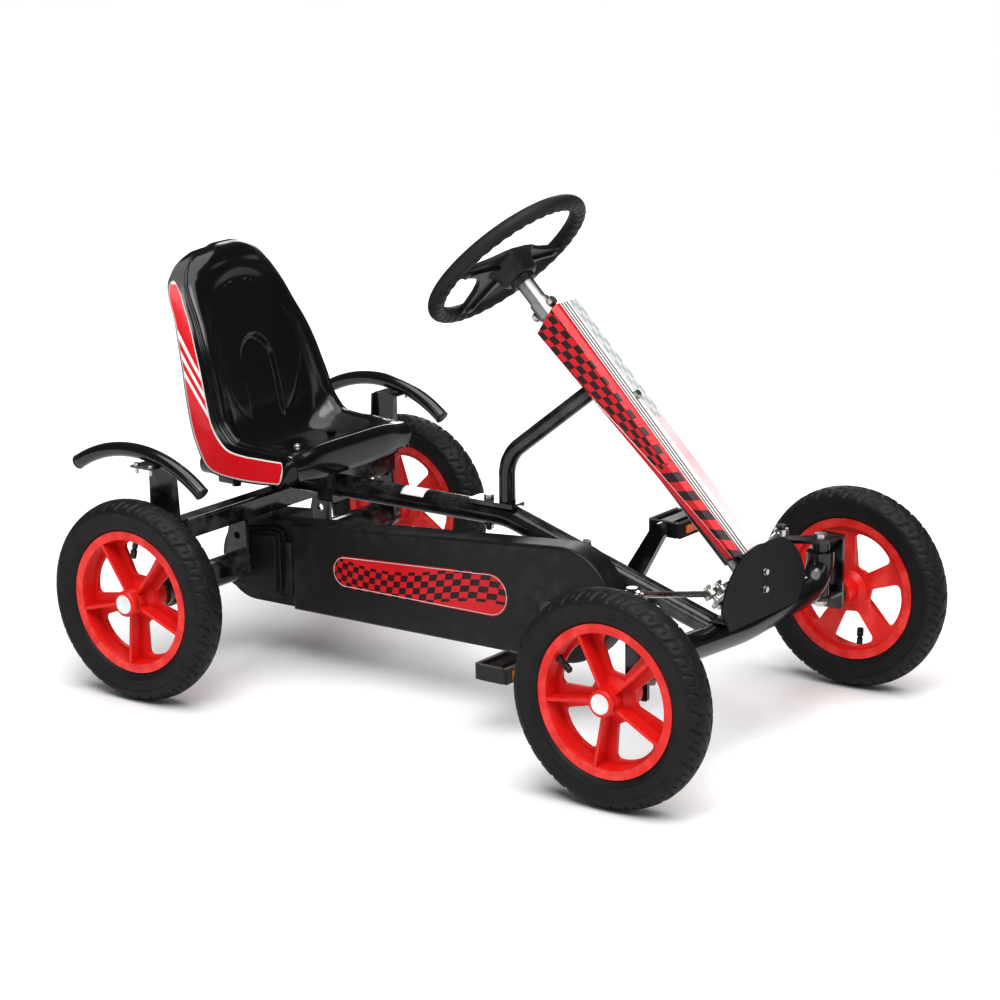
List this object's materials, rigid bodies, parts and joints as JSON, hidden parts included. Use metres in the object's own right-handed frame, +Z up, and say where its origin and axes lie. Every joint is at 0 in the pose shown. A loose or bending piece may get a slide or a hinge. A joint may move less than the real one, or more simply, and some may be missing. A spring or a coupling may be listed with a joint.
{
  "type": "pedal go kart",
  "caption": "Child's pedal go kart: bent tube frame, red spoked wheels on black tyres, bucket seat, leaning steering column and a cased chain drive.",
  "frame": {"origin": "on the ground, midway between the axles and on the kart's centre plane", "axes": "+Z up, +Y towards the rear (the kart drives towards -Y), +X towards the kart's left side"},
  "size_m": [0.734, 1.1726, 0.7739],
  "materials": {
    "tyre": "matt black rubber, lightly dusted",
    "red_plastic": "bright red moulded plastic, satin gloss",
    "white_plastic": "white moulded plastic",
    "bearing_steel": "ground steel",
    "black_paint": "gloss black powder coat",
    "dark_plastic": "fine-grained dark grey plastic",
    "black_plastic": "black plastic",
    "seat_plastic": "glossy black moulded plastic",
    "red_decal": "red printed film with white and dark stripes",
    "orange_reflector": "orange prismatic reflector plastic",
    "zinc_steel": "bright zinc-plated steel"
  },
  "bodies": {
    "frame": {"main_tube": "black_paint", "front_beam": "black_paint", "kingpin_sleeves": "zinc_steel", "column_tube": "black_paint", "column_bushes": "black_plastic", "column_support": "black_paint", "column_cover": "red_decal", "number_plate": "black_paint", "rear_cross_beam": "black_paint", "axle_hangers": "black_paint", "axle_housing": "black_paint", "axle_bearings": "bearing_steel", "fender_tubes": "black_paint", "fender_straps": "black_paint", "chain_case_upper": "dark_plastic", "chain_case_lower": "dark_plastic", "chain_case_badge": "red_decal", "bottom_bracket_shell": "black_paint", "bottom_bracket_cups": "zinc_steel", "frame_bolts": "zinc_steel", "chain": "zinc_steel"},
    "seat": {"seat_shell": "seat_plastic", "seat_panels": "red_decal", "seat_clamp": "black_paint", "seat_bolts": "zinc_steel"},
    "steering": {"steering_wheel": "dark_plastic", "steering_shaft": "zinc_steel", "pitman_arm": "black_paint", "steering_bolts": "zinc_steel"},
    "knuckle_left": {"knuckle_left": "black_paint", "kingpin_left": "zinc_steel"},
    "knuckle_right": {"knuckle_right": "black_paint", "kingpin_right": "zinc_steel"},
    "tie_rod_left": {"tie_rod_left": "zinc_steel"},
    "tie_rod_right": {"tie_rod_right": "zinc_steel"},
    "crank": {"crank_axle": "zinc_steel", "chainring": "zinc_steel", "crank_arm_left": "black_paint", "crank_arm_right": "black_paint"},
    "pedal_left": {"pedal_left": "black_plastic", "reflectors_left": "orange_reflector"},
    "pedal_right": {"pedal_right": "black_plastic", "reflectors_right": "orange_reflector"},
    "rear_axle": {"rear_axle": "zinc_steel", "rear_sprocket": "zinc_steel", "tyre_rear_right": "tyre", "rim_rear_right": "red_plastic", "hub_cap_rear_right": "white_plastic"},
    "wheel_front_left": {"tyre_front_left": "tyre", "rim_front_left": "red_plastic", "hub_cap_front_left": "white_plastic", "wheel_bearings_front_left": "bearing_steel"},
    "wheel_front_right": {"tyre_front_right": "tyre", "rim_front_right": "red_plastic", "hub_cap_front_right": "white_plastic", "wheel_bearings_front_right": "bearing_steel"},
    "wheel_rear_left": {"tyre_rear_left": "tyre", "rim_rear_left": "red_plastic", "hub_cap_rear_left": "white_plastic", "wheel_bearings_rear_left": "bearing_steel"}
  },
  "joints": [
    {"name": "steering", "type": "hinge", "parent": "frame", "child": "steering", "pos_m": [0, -0.0245, 0.671], "axis": [0, 0.7071, 0.7071], "range_deg": [-20, 20]},
    {"name": "knuckle_left", "type": "hinge", "parent": "frame", "child": "knuckle_left", "pos_m": [0.228, -0.4303, 0.2], "axis": [0, 0, 1], "range_deg": [-22, 22]},
    {"name": "knuckle_right", "type": "hinge", "parent": "frame", "child": "knuckle_right", "pos_m": [-0.228, -0.4303, 0.2], "axis": [0, 0, 1], "range_deg": [-22, 22]},
    {"name": "tie_rod_left", "type": "hinge", "parent": "knuckle_left", "child": "tie_rod_left", "pos_m": [0.2, -0.3783, 0.263], "axis": [0, 0, 1], "range_deg": [-27, 27]},
    {"name": "tie_rod_right", "type": "hinge", "parent": "knuckle_right", "child": "tie_rod_right", "pos_m": [-0.2, -0.3783, 0.263], "axis": [0, 0, 1], "range_deg": [-27, 27]},
    {"name": "front_left_spin", "type": "hinge", "parent": "knuckle_left", "child": "wheel_front_left", "pos_m": [0.328, -0.4303, 0.156], "axis": [1, 0, 0], "continuous": true},
    {"name": "front_right_spin", "type": "hinge", "parent": "knuckle_right", "child": "wheel_front_right", "pos_m": [-0.328, -0.4303, 0.156], "axis": [1, 0, 0], "continuous": true},
    {"name": "rear_left_spin", "type": "hinge", "parent": "frame", "child": "wheel_rear_left", "pos_m": [0.334, 0.4303, 0.156], "axis": [1, 0, 0], "continuous": true},
    {"name": "rear_drive", "type": "hinge", "parent": "frame", "child": "rear_axle", "pos_m": [0, 0.4303, 0.156], "axis": [1, 0, 0], "continuous": true},
    {"name": "crank_spin", "type": "hinge", "parent": "frame", "child": "crank", "pos_m": [0, -0.176, 0.182], "axis": [1, 0, 0], "continuous": true, "deforming": ["chain"]},
    {"name": "pedal_left", "type": "hinge", "parent": "crank", "child": "pedal_left", "pos_m": [0.155, -0.22493, 0.26343], "axis": [1, 0, 0], "continuous": true},
    {"name": "pedal_right", "type": "hinge", "parent": "crank", "child": "pedal_right", "pos_m": [-0.155, -0.12707, 0.10057], "axis": [1, 0, 0], "continuous": true},
    {"name": "seat_slide", "type": "slide", "parent": "frame", "child": "seat", "axis": [0, -1, 0], "range_m": [0, 0.05]}
  ],
  "couplings": [
    {"joint": "knuckle_left", "follows": "steering", "ratio": 1.038},
    {"joint": "knuckle_right", "follows": "steering", "ratio": 1.038},
    {"joint": "tie_rod_left", "follows": "steering", "ratio": -1.293},
    {"joint": "tie_rod_right", "follows": "steering", "ratio": -1.293},
    {"joint": "crank_spin", "follows": "rear_drive", "ratio": 0.53333}
  ]
}
